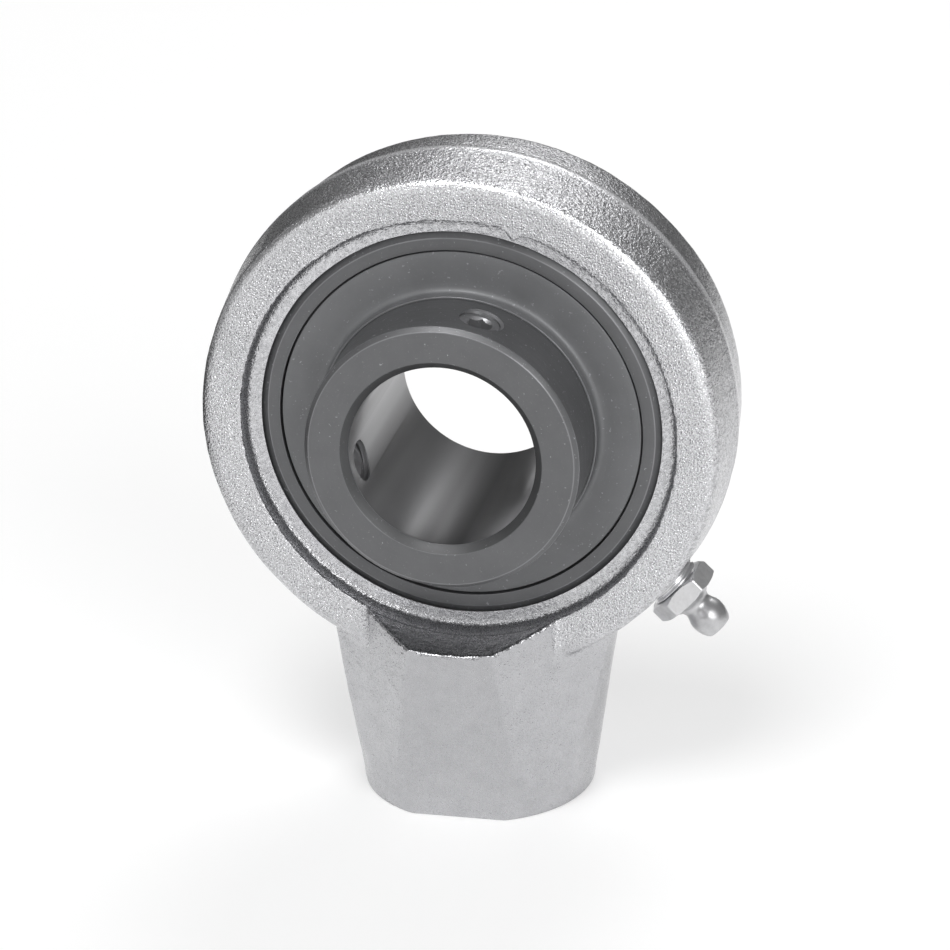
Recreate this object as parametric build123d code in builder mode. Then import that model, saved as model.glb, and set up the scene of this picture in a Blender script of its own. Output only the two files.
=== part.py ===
from build123d import *
from math import cos, radians, sin, sqrt, tan
import os

# Hanger bearing unit: a cast ring on a threaded pipe boss, holding a self-aligning ball
# bearing insert. Millimetres. The origin is the centre of the spherical seat. The shaft
# runs along Y, the long set-screw side of the insert faces -Y, and the boss points -Z.

# Distance within which a drawn corner counts as lying on a radius or at a height
same_place = 1e-6

# Bearing insert, rings
bore_diameter = 31.75
bore_chamfer = 1.4
inner_shoulder_height = 2.276
inner_ring_front = 25.4
inner_ring_back = 17.5
inner_ring_chamfer = 0.8
outer_shoulder_height = 1.976
outer_ring_wall = 3.674
outer_ring_chamfer = 1.1
seal_ledge = 1.0

# Balls and races
ball_diameter = 11.1125
ball_count = 9
first_ball_angle = 90.0
pitch_diameter = 53.5
race_curvature = 1.04
race_clearance = 0.02

# Pressed ribbon cage
cage_thickness = 0.8
cage_width = 4.4
pocket_clearance = 0.15
rivet_diameter = 1.5
rivet_head_diameter = 2.7
rivet_head_height = 0.6

# Seals and flingers
seal_thickness = 1.2
seal_foot = 0.2
seal_room = 0.29375
seal_lip_length = 1.1
seal_lip_clearance = 0.08
seal_lip_lean = 0.25
flinger_room = 0.55
flinger_thickness = 0.7
flinger_rim_gap = 0.55
flinger_inset = 0.3
flinger_dish = 0.2
flinger_dish_width = 4.0
collar_thickness = 0.4
collar_height = 2.3
collar_root_fillet = 1.0

# Set screws
screw_diameter = 7.9375
screw_clearance = 0.04
screw_sink = 0.7
screw_tip_gap = 0.875
screw_chamfer = 0.7
screw_socket = 3.97
screw_cup_diameter = 4.6
screw_edge_distance = 7.0
first_screw_angle = 75.5
screw_spacing = 120.0

# Lubrication path
oil_plane = 5.2
oil_groove_width = 3.0
oil_groove_depth = 0.5
oil_hole_diameter = 1.2
second_oil_hole_angle = 120.0
oil_passage_diameter = 3.2

# Housing ring
seat_clearance = 0.04
recess_step = 1.26
recess_depth = 3.0
recess_fillet = 0.7
ring_wall = 8.85
draft_angle = 6.5
ring_crown = 12.0
ring_corner = 2.2
slot_clearance = 0.3

# Pipe boss
boss_reach = 70.0
boss_wall = 5.2
boss_taper = 9.0
boss_flat_width = 16.4
boss_flat_taper = 6.5
boss_diagonal = 42.2
boss_fillet = 1.5
boss_edge = 1.0
pipe_hole_diameter = 30.291
pipe_hole_web = 7.45
pipe_hole_chamfer = 1.65
pipe_hole_point = 20.0

# Grease nipple
nipple_angle = -44.5
nipple_thread_diameter = 9.6
nipple_thread_clearance = 0.03
nipple_thread_depth = 6.0
nipple_standoff = 2.45
nipple_hex = 11.0
nipple_hex_corner_cut = 0.2
nipple_hex_height = 3.3
nipple_hex_turn = 12.0
nipple_hex_base_chamfer = 0.6
nipple_hex_top_chamfer = 0.35
nipple_neck_diameter = 5.3
nipple_head_diameter = 6.6
nipple_tip_diameter = 4.6
nipple_neck_height = 1.9
nipple_head_height = 2.3
nipple_tip_height = 3.2
nipple_mouth_length = 0.5
nipple_seat_width = 0.25
nipple_chamber_diameter = 2.8
nipple_chamber_depth = 7.5
nipple_duct_diameter = 1.6
nipple_ball_play = 0.15
nipple_ball_clearance = 0.02
spring_wire = 0.3
spring_turns = 5.0
spring_clearance = 0.1

# Worked-out radii, from the bore outwards
bore_radius = bore_diameter / 2
ball_radius = ball_diameter / 2
pitch_radius = pitch_diameter / 2
race_radius = race_curvature * ball_radius
inner_race_bottom = pitch_radius - ball_radius - race_clearance
inner_radius = inner_race_bottom + inner_shoulder_height
outer_race_bottom = pitch_radius + ball_radius + race_clearance
shoulder_radius = outer_race_bottom - outer_shoulder_height
seal_seat_radius = shoulder_radius + seal_ledge
sphere_radius = outer_race_bottom + outer_ring_wall
seat_radius = sphere_radius + seat_clearance
recess_radius = seat_radius + recess_step
ring_radius = recess_radius + ring_wall

# Worked-out places along the shaft, from the middle outwards
pocket_radius = ball_radius + pocket_clearance
seal_back = pocket_radius + cage_thickness + seal_room
seal_floor = seal_back - seal_foot
seal_front = seal_back + seal_thickness
flinger_back_face = seal_front + seal_lip_lean + flinger_room
dish_face = flinger_back_face + flinger_thickness
flinger_face = dish_face + flinger_dish
outer_half = flinger_face + flinger_inset
collar_end = flinger_face + collar_height
ring_half = outer_half + recess_depth


def radial_plane(angle, height):
    """Plane whose Z points away from the shaft axis at an angle, at a place along the shaft."""
    outwards = (cos(radians(angle)), 0, sin(radians(angle)))
    return Plane(origin=(0, height, 0), x_dir=(0, -1, 0), z_dir=outwards)


def section_of(plane):
    """Plane to draw a turned section on: its Y runs along the given plane's Z."""
    return Plane(origin=plane.origin, x_dir=plane.x_dir, z_dir=-plane.y_dir)


def turning_axis(plane):
    """The axis that a section drawn on section_of(plane) is turned about."""
    return Axis(plane.origin, plane.z_dir)


def at_pitch(angle):
    """A place on the ball pitch circle."""
    return (pitch_radius * cos(radians(angle)), 0, pitch_radius * sin(radians(angle)))


def save(builder, name):
    """Label a finished piece and write it to its own file."""
    builder.part.label = name
    export_step(builder.part, f"parts/{name}.step")


os.makedirs("parts", exist_ok=True)

# Inner ring: bore, chamfered ends, ball groove and two tapped set-screw holes
inner_race_centre = inner_race_bottom + race_radius
inner_race_half = sqrt(race_radius**2 - (inner_race_centre - inner_radius) ** 2)
screw_plane_y = -inner_ring_front + screw_edge_distance
screw_hole_radius = screw_diameter / 2 + screw_clearance
screw_angles = [first_screw_angle, first_screw_angle + screw_spacing]

with BuildPart() as inner_ring:
    with BuildSketch(Plane.XY):
        with BuildLine():
            Polyline(
                (inner_radius, -inner_race_half),
                (inner_radius, -inner_ring_front + inner_ring_chamfer),
                (inner_radius - inner_ring_chamfer, -inner_ring_front),
                (bore_radius + bore_chamfer, -inner_ring_front),
                (bore_radius, -inner_ring_front + bore_chamfer),
                (bore_radius, inner_ring_back - bore_chamfer),
                (bore_radius + bore_chamfer, inner_ring_back),
                (inner_radius - inner_ring_chamfer, inner_ring_back),
                (inner_radius, inner_ring_back - inner_ring_chamfer),
                (inner_radius, inner_race_half),
            )
            ThreePointArc(
                (inner_radius, inner_race_half),
                (inner_race_bottom, 0),
                (inner_radius, -inner_race_half),
            )
        make_face()
    revolve(axis=Axis.Y)
    for angle in screw_angles:
        with BuildSketch(radial_plane(angle, screw_plane_y)):
            Circle(screw_hole_radius)
        extrude(amount=2 * inner_radius, mode=Mode.SUBTRACT)
save(inner_ring, "inner_ring")

# Outer ring: spherical outside with an oil groove, ball groove and a seal seat on each side
outer_race_centre = outer_race_bottom - race_radius
outer_race_half = sqrt(race_radius**2 - (shoulder_radius - outer_race_centre) ** 2)
sphere_end = outer_half - outer_ring_chamfer
sphere_end_radius = sqrt(sphere_radius**2 - sphere_end**2)
face_radius = sqrt(sphere_radius**2 - outer_half**2) - outer_ring_chamfer
oil_groove_floor = sqrt(sphere_radius**2 - oil_plane**2) - oil_groove_depth

with BuildPart() as outer_ring:
    with BuildSketch(Plane.XY):
        with BuildLine():
            ThreePointArc(
                (sphere_end_radius, sphere_end),
                (sphere_radius, 0),
                (sphere_end_radius, -sphere_end),
            )
            Polyline(
                (sphere_end_radius, -sphere_end),
                (face_radius, -outer_half),
                (seal_seat_radius, -outer_half),
                (seal_seat_radius, -seal_floor),
                (shoulder_radius, -seal_floor),
                (shoulder_radius, -outer_race_half),
            )
            ThreePointArc(
                (shoulder_radius, -outer_race_half),
                (outer_race_bottom, 0),
                (shoulder_radius, outer_race_half),
            )
            Polyline(
                (shoulder_radius, outer_race_half),
                (shoulder_radius, seal_floor),
                (seal_seat_radius, seal_floor),
                (seal_seat_radius, outer_half),
                (face_radius, outer_half),
                (sphere_end_radius, sphere_end),
            )
        make_face()
    revolve(axis=Axis.Y)
    with BuildSketch(Plane.XY):
        with Locations(((oil_groove_floor + sphere_radius) / 2, oil_plane)):
            Rectangle(sphere_radius - oil_groove_floor, oil_groove_width)
    revolve(axis=Axis.Y, mode=Mode.SUBTRACT)
    for angle in [nipple_angle, nipple_angle + second_oil_hole_angle]:
        with BuildSketch(radial_plane(angle, oil_plane)):
            Circle(oil_hole_diameter / 2)
        extrude(amount=sphere_radius, mode=Mode.SUBTRACT)
save(outer_ring, "outer_ring")

# Balls, evenly spaced on the pitch circle
ball_pitch = 360 / ball_count
ball_angles = [first_ball_angle + ball_pitch * i for i in range(ball_count)]
for number, angle in enumerate(ball_angles, start=1):
    with BuildPart() as ball:
        with Locations(at_pitch(angle)):
            Sphere(ball_radius)
    save(ball, f"ball_{number}")

# Cage: two pressed halves whose pockets wrap the balls, held together by rivets between them
cage_inner = pitch_radius - cage_width / 2
cage_outer = pitch_radius + cage_width / 2
first_rivet = at_pitch(first_ball_angle + ball_pitch / 2)

for name, side in (("cage_front", -1), ("cage_back", 1)):
    cage_plane = Plane(origin=(0, 0, 0), x_dir=first_rivet, z_dir=(0, side, 0))
    with BuildPart(cage_plane) as cage_half:
        with PolarLocations(pitch_radius, ball_count, start_angle=ball_pitch / 2):
            Sphere(pocket_radius + cage_thickness)
        with BuildSketch(cage_plane):
            Circle(cage_outer)
            Circle(cage_inner, mode=Mode.SUBTRACT)
        extrude(amount=ball_diameter, mode=Mode.INTERSECT)
        with BuildSketch(cage_plane):
            Circle(cage_outer)
            Circle(cage_inner, mode=Mode.SUBTRACT)
        extrude(amount=cage_thickness)
        with PolarLocations(pitch_radius, ball_count, start_angle=ball_pitch / 2):
            Sphere(pocket_radius, mode=Mode.SUBTRACT)
        with PolarLocations(pitch_radius, ball_count):
            Hole(rivet_diameter / 2)
    save(cage_half, name)

rivet_dome = rivet_head_height / 2
with BuildPart() as cage_rivets:
    for angle in ball_angles:
        rivet_plane = Plane(origin=at_pitch(angle + ball_pitch / 2), x_dir=(1, 0, 0), z_dir=(0, 1, 0))
        with BuildSketch(section_of(rivet_plane)):
            with BuildLine():
                Polyline(
                    (0, -cage_thickness - rivet_head_height),
                    (rivet_diameter / 2, -cage_thickness - rivet_head_height),
                    (rivet_head_diameter / 2, -cage_thickness - rivet_dome),
                    (rivet_head_diameter / 2, -cage_thickness),
                    (rivet_diameter / 2, -cage_thickness),
                    (rivet_diameter / 2, cage_thickness),
                    (rivet_head_diameter / 2, cage_thickness),
                    (rivet_head_diameter / 2, cage_thickness + rivet_dome),
                    (rivet_diameter / 2, cage_thickness + rivet_head_height),
                    (0, cage_thickness + rivet_head_height),
                    close=True,
                )
            make_face()
        revolve(axis=turning_axis(rivet_plane))
save(cage_rivets, "cage_rivets")

# Rubber seals: a foot in the outer ring's seat and a thin lip that rides the inner ring
lip_radius = inner_radius + seal_lip_clearance

for name, side in (("seal_front", -1), ("seal_back", 1)):
    with BuildPart() as seal:
        with BuildSketch(Plane.XY):
            with BuildLine():
                Polyline(
                    (seal_seat_radius, side * seal_floor),
                    (seal_seat_radius, side * seal_front),
                    (lip_radius + seal_lip_length, side * seal_front),
                    (lip_radius + seal_lip_lean, side * (seal_front + seal_lip_lean)),
                    (lip_radius, side * seal_front),
                    (lip_radius + seal_lip_length, side * seal_back),
                    (shoulder_radius, side * seal_back),
                    (shoulder_radius, side * seal_floor),
                    close=True,
                )
            make_face()
        revolve(axis=Axis.Y)
    save(seal, name)

# Flingers: dished steel discs pressed on the inner ring, just clear of the outer ring's seat
flinger_rim = seal_seat_radius - flinger_rim_gap
collar_radius = inner_radius + collar_thickness
dish_radius = collar_radius + flinger_dish_width / 2

for name, side in (("flinger_front", -1), ("flinger_back", 1)):
    with BuildPart() as flinger:
        with BuildSketch(Plane.XY):
            with BuildLine():
                Polyline(
                    (inner_radius, side * flinger_back_face),
                    (inner_radius, side * collar_end),
                    (collar_radius, side * collar_end),
                    (collar_radius, side * dish_face),
                    (dish_radius, side * dish_face),
                    (dish_radius + flinger_dish_width, side * flinger_face),
                    (flinger_rim, side * flinger_face),
                    (flinger_rim, side * (flinger_face - flinger_thickness)),
                    (dish_radius + flinger_dish_width, side * (flinger_face - flinger_thickness)),
                    (dish_radius, side * flinger_back_face),
                    close=True,
                )
            face = make_face()
            collar_root = face.vertices().filter_by(
                lambda v: abs(v.X - collar_radius) < same_place
                and abs(abs(v.Y) - dish_face) < same_place
            )
            fillet(collar_root, collar_root_fillet)
        revolve(axis=Axis.Y)
    save(flinger, name)

# Set screws: hex socket at the outer end, cup point towards the shaft
screw_outer = inner_radius - screw_sink
screw_inner = bore_radius + screw_tip_gap
screw_socket_depth = (screw_outer - screw_inner) / 2
cup_depth = screw_cup_diameter / 2 - screw_chamfer

for number, angle in enumerate(screw_angles, start=1):
    screw_plane = radial_plane(angle, screw_plane_y)
    with BuildPart() as set_screw:
        with BuildSketch(section_of(screw_plane)):
            with BuildLine():
                Polyline(
                    (0, screw_inner + cup_depth),
                    (screw_cup_diameter / 2, screw_inner),
                    (screw_diameter / 2 - screw_chamfer, screw_inner),
                    (screw_diameter / 2, screw_inner + screw_chamfer),
                    (screw_diameter / 2, screw_outer - screw_chamfer / 2),
                    (screw_diameter / 2 - screw_chamfer / 2, screw_outer),
                    (0, screw_outer),
                    close=True,
                )
            make_face()
        revolve(axis=turning_axis(screw_plane))
        with BuildSketch(screw_plane.offset(screw_outer)):
            RegularPolygon(screw_socket / 2, 6, major_radius=False)
        extrude(amount=-screw_socket_depth, mode=Mode.SUBTRACT)
    save(set_screw, f"set_screw_{number}")

# Housing: the cast ring and pipe boss in one piece
draft_slope = tan(radians(draft_angle))
boss_slope = tan(radians(boss_taper))
boss_flat_slope = tan(radians(boss_flat_taper))
ring_face_radius = ring_radius - ring_half * draft_slope
pipe_hole_radius = pipe_hole_diameter / 2
boss_mouth_radius = pipe_hole_radius + boss_wall
boss_top = -seat_radius / 2
boss_height = boss_reach + boss_top
boss_top_radius = boss_mouth_radius + boss_height * boss_slope
boss_flat_reach = sqrt(boss_mouth_radius**2 - (boss_flat_width / 2) ** 2)
boss_flat_top_reach = boss_flat_reach + boss_height * boss_flat_slope
nipple_plane = radial_plane(nipple_angle, oil_plane)
nipple_wall = ring_radius - oil_plane * draft_slope
pipe_hole_top = -seat_radius - pipe_hole_web
pipe_hole_end = pipe_hole_top - pipe_hole_radius * tan(radians(pipe_hole_point))
nipple_hole_radius = nipple_thread_diameter / 2 + nipple_thread_clearance

with BuildPart() as housing:
    # tapered round boss with a flat on its front and back
    with BuildSketch(Plane.XZ):
        with BuildLine():
            Polyline(
                (0, -boss_reach),
                (boss_mouth_radius, -boss_reach),
                (boss_top_radius, boss_top),
                (0, boss_top),
                close=True,
            )
        make_face()
    revolve(axis=Axis.Z)
    with BuildSketch(Plane.YZ):
        with BuildLine():
            Polyline(
                (-boss_flat_reach, -boss_reach),
                (boss_flat_reach, -boss_reach),
                (boss_flat_top_reach, boss_top),
                (-boss_flat_top_reach, boss_top),
                close=True,
            )
        make_face()
    extrude(amount=ring_radius, both=True, mode=Mode.INTERSECT)
    # four upright flats on the diagonals, which end above the mouth
    with BuildSketch(Plane.XY.offset(-boss_reach)):
        Rectangle(boss_diagonal, boss_diagonal, rotation=45)
    extrude(amount=boss_height, mode=Mode.INTERSECT)
    fillet(housing.edges().group_by(Axis.Z)[0], boss_edge)
    # ring blank with draft to both sides of its parting line
    with BuildSketch(Plane.XY) as ring_section:
        with BuildLine():
            Polyline(
                (0, -ring_half),
                (ring_face_radius, -ring_half),
                (ring_radius, 0),
                (ring_face_radius, ring_half),
                (0, ring_half),
                close=True,
            )
        make_face()
        fillet(ring_section.vertices().sort_by(Axis.X)[-1], ring_crown)
        corners = ring_section.vertices().filter_by(
            lambda v: abs(v.X - ring_face_radius) < same_place
        )
        fillet(corners, ring_corner)
    revolve(axis=Axis.Y)
    # rounded corner where the boss grows out of the ring
    junction = housing.edges(Select.NEW).filter_by(lambda e: e.center().Z < boss_top - boss_fillet)
    fillet(junction, boss_fillet)
    # recess in each face, cut through the front and back of the boss as well
    for side in (-1, 1):
        with BuildSketch(Plane.XY):
            with BuildLine():
                Polyline(
                    (0, side * outer_half),
                    (recess_radius, side * outer_half),
                    (recess_radius, side * ring_radius),
                    (0, side * ring_radius),
                    close=True,
                )
            recess = make_face()
            foot = recess.vertices().filter_by(
                lambda v: v.X > seat_radius and abs(abs(v.Y) - outer_half) < same_place
            )
            fillet(foot, recess_fillet)
        revolve(axis=Axis.Y, mode=Mode.SUBTRACT)
    # spherical seat
    Sphere(seat_radius, mode=Mode.SUBTRACT)
    # loading slot through the back of the seat, as wide as the insert's outer ring
    with BuildSketch(Plane.XZ):
        Circle(seat_radius)
        Rectangle(
            2 * seat_radius, 2 * (outer_half + slot_clearance), mode=Mode.INTERSECT
        )
    extrude(amount=-ring_half, mode=Mode.SUBTRACT)
    # tapped pipe hole up the boss
    with BuildSketch(Plane.XZ):
        with BuildLine():
            Polyline(
                (0, -boss_reach),
                (pipe_hole_radius + pipe_hole_chamfer, -boss_reach),
                (pipe_hole_radius, -boss_reach + pipe_hole_chamfer),
                (pipe_hole_radius, pipe_hole_end),
                (0, pipe_hole_top),
                close=True,
            )
        make_face()
    revolve(axis=Axis.Z, mode=Mode.SUBTRACT)
    # tapped hole and passage for the grease nipple
    with BuildSketch(nipple_plane.offset(nipple_wall - nipple_thread_depth)):
        Circle(nipple_hole_radius)
    extrude(amount=2 * nipple_thread_depth, mode=Mode.SUBTRACT)
    with BuildSketch(nipple_plane):
        Circle(oil_passage_diameter / 2)
    extrude(amount=nipple_wall, mode=Mode.SUBTRACT)
save(housing, "housing")

# Grease nipple: thread shank, hexagon, neck and ball-shaped head, bored through
hex_base = nipple_wall + nipple_standoff
hex_top = hex_base + nipple_hex_height
hex_corner_radius = nipple_hex / 2 / cos(radians(30)) - nipple_hex_corner_cut
neck_at = hex_top + nipple_neck_height
head_at = neck_at + nipple_head_height
tip_at = head_at + nipple_tip_height
shank_end = nipple_wall - nipple_thread_depth
chamber_radius = nipple_chamber_diameter / 2
check_ball_radius = chamber_radius - nipple_ball_play
mouth_radius = check_ball_radius - nipple_seat_width
mouth_edge = tip_at - nipple_mouth_length
chamber_top = mouth_edge - (chamber_radius - mouth_radius)
chamber_end = tip_at - nipple_chamber_depth
duct_radius = nipple_duct_diameter / 2
neck_side = Vector(-1, 0.2)
head_end = Vector(-0.7, 1)

with BuildPart() as nipple_body:
    # hexagon with its corners turned off
    with BuildSketch(nipple_plane.offset(hex_base)):
        RegularPolygon(nipple_hex / 2, 6, major_radius=False, rotation=nipple_hex_turn)
    extrude(amount=nipple_hex_height)
    with BuildSketch(section_of(nipple_plane)):
        with BuildLine():
            Polyline(
                (0, hex_base),
                (nipple_hex / 2, hex_base),
                (hex_corner_radius, hex_base + nipple_hex_base_chamfer),
                (hex_corner_radius, hex_top - nipple_hex_top_chamfer),
                (nipple_hex / 2, hex_top),
                (0, hex_top),
                close=True,
            )
        make_face()
    revolve(axis=turning_axis(nipple_plane), mode=Mode.INTERSECT)
    # shank, neck and head
    with BuildSketch(section_of(nipple_plane)):
        with BuildLine():
            Polyline(
                (0, shank_end),
                (nipple_thread_diameter / 2, shank_end),
                (nipple_thread_diameter / 2, hex_top),
            )
            Spline(
                (nipple_thread_diameter / 2, hex_top),
                (nipple_neck_diameter / 2, neck_at),
                (nipple_head_diameter / 2, head_at),
                (nipple_tip_diameter / 2, tip_at),
                tangents=(neck_side, head_end),
            )
            Polyline((nipple_tip_diameter / 2, tip_at), (0, tip_at), (0, shank_end))
        make_face()
    revolve(axis=turning_axis(nipple_plane))
    # duct, chamber and mouth
    with BuildSketch(section_of(nipple_plane)):
        with BuildLine():
            Polyline(
                (0, shank_end),
                (duct_radius, shank_end),
                (duct_radius, chamber_end),
                (chamber_radius, chamber_end),
                (chamber_radius, chamber_top),
                (mouth_radius, mouth_edge),
                (mouth_radius, tip_at),
                (0, tip_at),
                close=True,
            )
        make_face()
    revolve(axis=turning_axis(nipple_plane), mode=Mode.SUBTRACT)
save(nipple_body, "nipple_body")

# Check ball: held against the edge of the nipple's mouth from inside
ball_reach = check_ball_radius + nipple_ball_clearance
check_ball_at = mouth_edge - sqrt(ball_reach**2 - mouth_radius**2)

with BuildPart() as nipple_ball:
    with Locations(nipple_plane.offset(check_ball_at)):
        Sphere(check_ball_radius)
save(nipple_ball, "nipple_ball")

# Coil spring: stands on the chamber's floor and bears on the check ball
coil_radius = chamber_radius - spring_clearance - spring_wire / 2
coil_reach = check_ball_radius + spring_wire / 2 + nipple_ball_clearance
coil_top = check_ball_at - sqrt(coil_reach**2 - coil_radius**2)
coil_bottom = chamber_end + spring_wire / 2 + nipple_ball_clearance
coil_height = coil_top - coil_bottom
coil_start = nipple_plane.offset(coil_bottom).origin

with BuildPart() as nipple_spring:
    with BuildLine() as coil:
        Helix(coil_height / spring_turns, coil_height, coil_radius, coil_start, nipple_plane.z_dir)
    with BuildSketch(Plane(origin=coil.line @ 0, z_dir=coil.line % 0)):
        Circle(spring_wire / 2)
    sweep(is_frenet=True)
save(nipple_spring, "nipple_spring")
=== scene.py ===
import math

import bmesh
import bpy
from mathutils import Matrix, Vector, noise

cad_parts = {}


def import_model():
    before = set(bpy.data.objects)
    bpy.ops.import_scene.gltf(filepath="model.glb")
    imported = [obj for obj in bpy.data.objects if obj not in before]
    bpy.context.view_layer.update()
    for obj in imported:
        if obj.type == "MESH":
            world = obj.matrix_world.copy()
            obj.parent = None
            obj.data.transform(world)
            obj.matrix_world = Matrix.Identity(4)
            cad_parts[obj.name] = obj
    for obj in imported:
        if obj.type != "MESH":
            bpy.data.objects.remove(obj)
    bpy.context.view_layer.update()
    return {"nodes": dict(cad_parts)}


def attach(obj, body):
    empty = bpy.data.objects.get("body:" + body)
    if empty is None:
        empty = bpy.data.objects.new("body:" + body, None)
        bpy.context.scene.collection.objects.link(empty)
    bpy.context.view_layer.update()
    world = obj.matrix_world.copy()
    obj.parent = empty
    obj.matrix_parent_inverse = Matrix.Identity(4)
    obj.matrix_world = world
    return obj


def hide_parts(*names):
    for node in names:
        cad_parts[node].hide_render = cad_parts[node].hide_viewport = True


# Hanger bearing unit: a zinc-plated casting that holds a steel bearing insert.
# Shapes are drawn in millimetres, and their place matrix turns them into metres.

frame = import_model()
print("frame loaded,", len(frame["nodes"]), "nodes")

mm = 0.001
samePoint = 0.0005  # millimetres within which drawn points are one
onPlane = 0.00005  # millimetres within which a point lies on a cut
sharpAngle = 32  # degrees from which an edge is shaded sharp
edgeSteps, cornerSteps = 4, 3  # faces across a rounding, of a turned edge and of a hexagon's corner
# a thread's outline over one pitch, as the radius and the share of the pitch
threadForm = (("root", 0.0), ("root", 0.2), ("crest", 0.53), ("crest", 0.67))
toMetres = Matrix.Scale(mm, 4)
alongShaft = toMetres @ Matrix(((1, 0, 0, 0), (0, 0, 1, 0), (0, -1, 0, 0), (0, 0, 0, 1)))


def outFromShaft(angle, height):
    # own z points away from the shaft axis, own x to the front
    turn = math.radians(angle)
    z = Vector((math.cos(turn), 0, math.sin(turn)))
    x = Vector((0, -1, 0))
    place = Matrix((x, z.cross(x), z)).transposed().to_4x4()
    place.translation = (0, height, 0)
    return toMetres @ place


def arcPoints(centre, radius, start, end, count):
    # points of an arc in a radius-height outline, angles in degrees from outwards
    points = []
    for i in range(count + 1):
        a = math.radians(start + (end - start) * i / count)
        points.append((centre[0] + radius * math.cos(a), centre[1] + radius * math.sin(a), 0))
    return points


def turned(outline, steps=192):
    # spins a closed outline of (radius, height, edge rounding) round z
    bm = bmesh.new()
    corners = [bm.verts.new((radius, 0, height)) for radius, height, rounding in outline]
    for a, b in zip(corners, corners[1:] + corners[:1]):
        if a.co.x > 0 or b.co.x > 0:
            bm.edges.new((a, b))
    bmesh.ops.spin(bm, geom=bm.verts[:] + bm.edges[:], cent=(0, 0, 0), axis=(0, 0, 1),
                   angle=2 * math.pi, steps=steps, use_merge=True)
    bmesh.ops.remove_doubles(bm, verts=bm.verts[:], dist=samePoint)
    bmesh.ops.recalc_face_normals(bm, faces=bm.faces[:])
    for radius, height, rounding in outline:
        if rounding:
            ring = [e for e in bm.edges if all(
                abs(v.co.xy.length - radius) < samePoint and abs(v.co.z - height) < samePoint
                for v in e.verts)]
            bmesh.ops.bevel(bm, geom=ring, offset=rounding, offset_type="OFFSET", segments=edgeSteps,
                            profile=0.5, affect="EDGES", material=-1)
    return bm


def cutOff(bm, at, outwards, distance=onPlane):
    # takes away what lies beyond a plane
    bmesh.ops.bisect_plane(bm, geom=bm.verts[:] + bm.edges[:] + bm.faces[:], dist=distance,
                           plane_co=at, plane_no=outwards, clear_outer=True)


def openEdges(bm):
    return [e for e in bm.edges if e.is_boundary]


def threadedRod(size, bottom, top, steps=48):
    # a thread form over a few pitches, spun once round while it climbs one pitch
    pitch = size["pitch"]
    bm = bmesh.new()
    first = math.floor(bottom / pitch) - 2
    last = math.ceil(top / pitch) + 1
    corners = []
    for turn in range(first, last):
        for radius, share in threadForm:
            corners.append(bm.verts.new((size[radius], 0, turn * pitch + share * pitch)))
    for a, b in zip(corners, corners[1:]):
        bm.edges.new((a, b))
    bmesh.ops.spin(bm, geom=bm.verts[:] + bm.edges[:], cent=(0, 0, 0), axis=(0, 0, 1),
                   dvec=(0, 0, pitch / steps), angle=2 * math.pi, steps=steps)
    bmesh.ops.remove_doubles(bm, verts=bm.verts[:], dist=samePoint)
    cutOff(bm, (0, 0, bottom), (0, 0, -1))
    cutOff(bm, (0, 0, top), (0, 0, 1))
    bmesh.ops.edgeloop_fill(bm, edges=openEdges(bm))
    bmesh.ops.recalc_face_normals(bm, faces=bm.faces[:])
    return bm


def hexPrism(acrossFlats, bottom, top, turn, rounding=0.0):
    # hexagonal bar along z
    bm = bmesh.new()
    place = Matrix.Translation((0, 0, bottom)) @ Matrix.Rotation(math.radians(turn), 4, "Z")
    bmesh.ops.create_circle(bm, cap_ends=True, segments=6, radius=acrossFlats / 2 / math.cos(math.pi / 6),
                            matrix=place)
    side = bmesh.ops.extrude_face_region(bm, geom=bm.faces[:])
    bmesh.ops.translate(bm, verts=[g for g in side["geom"] if isinstance(g, bmesh.types.BMVert)],
                        vec=(0, 0, top - bottom))
    bmesh.ops.recalc_face_normals(bm, faces=bm.faces[:])
    if rounding:
        corners = [e for e in bm.edges if abs(e.verts[0].co.z - e.verts[1].co.z) > samePoint]
        bmesh.ops.bevel(bm, geom=corners, offset=rounding, offset_type="OFFSET", segments=cornerSteps,
                        profile=0.5, affect="EDGES", material=-1)
    return bm


def objectFrom(bm, name, place, material):
    bm.transform(place)
    mesh = bpy.data.meshes.new(name)
    bm.to_mesh(mesh)
    bm.free()
    mesh.materials.append(material)
    obj = bpy.data.objects.new(name, mesh)
    bpy.context.scene.collection.objects.link(obj)
    return obj


def applyModifiers(obj):
    depsgraph = bpy.context.evaluated_depsgraph_get()
    mesh = bpy.data.meshes.new_from_object(obj.evaluated_get(depsgraph))
    old = obj.data
    obj.modifiers.clear()
    obj.data = mesh
    bpy.data.meshes.remove(old)


def combine(obj, tool, operation):
    # joins, cuts or keeps the common part, and uses the tool up
    boolean = obj.modifiers.new("combine", "BOOLEAN")
    boolean.object = tool
    boolean.operation = operation
    boolean.solver = "MANIFOLD"
    boolean.material_mode = "TRANSFER"
    applyModifiers(obj)
    bpy.data.objects.remove(tool)


def shadeByAngle(obj):
    for polygon in obj.data.polygons:
        polygon.use_smooth = True
    obj.data.set_sharp_from_angle(angle=math.radians(sharpAngle))


def settle(obj, body, slot, *nodes):
    # the piece rides on its body and stands for its CAD nodes
    obj.data.name = obj.name
    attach(obj, body)
    if nodes:
        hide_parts(*nodes)
    print(obj.name, "has", len(obj.data.polygons), "faces")


# Materials: a noise is given as (scale, detail, roughness), and heights are in metres.

wide = (0.3, 0.7)  # where nearly all of a noise lies
narrow = (0.35, 0.65)  # where most of it lies
noiseMiddle = 0.5


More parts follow.
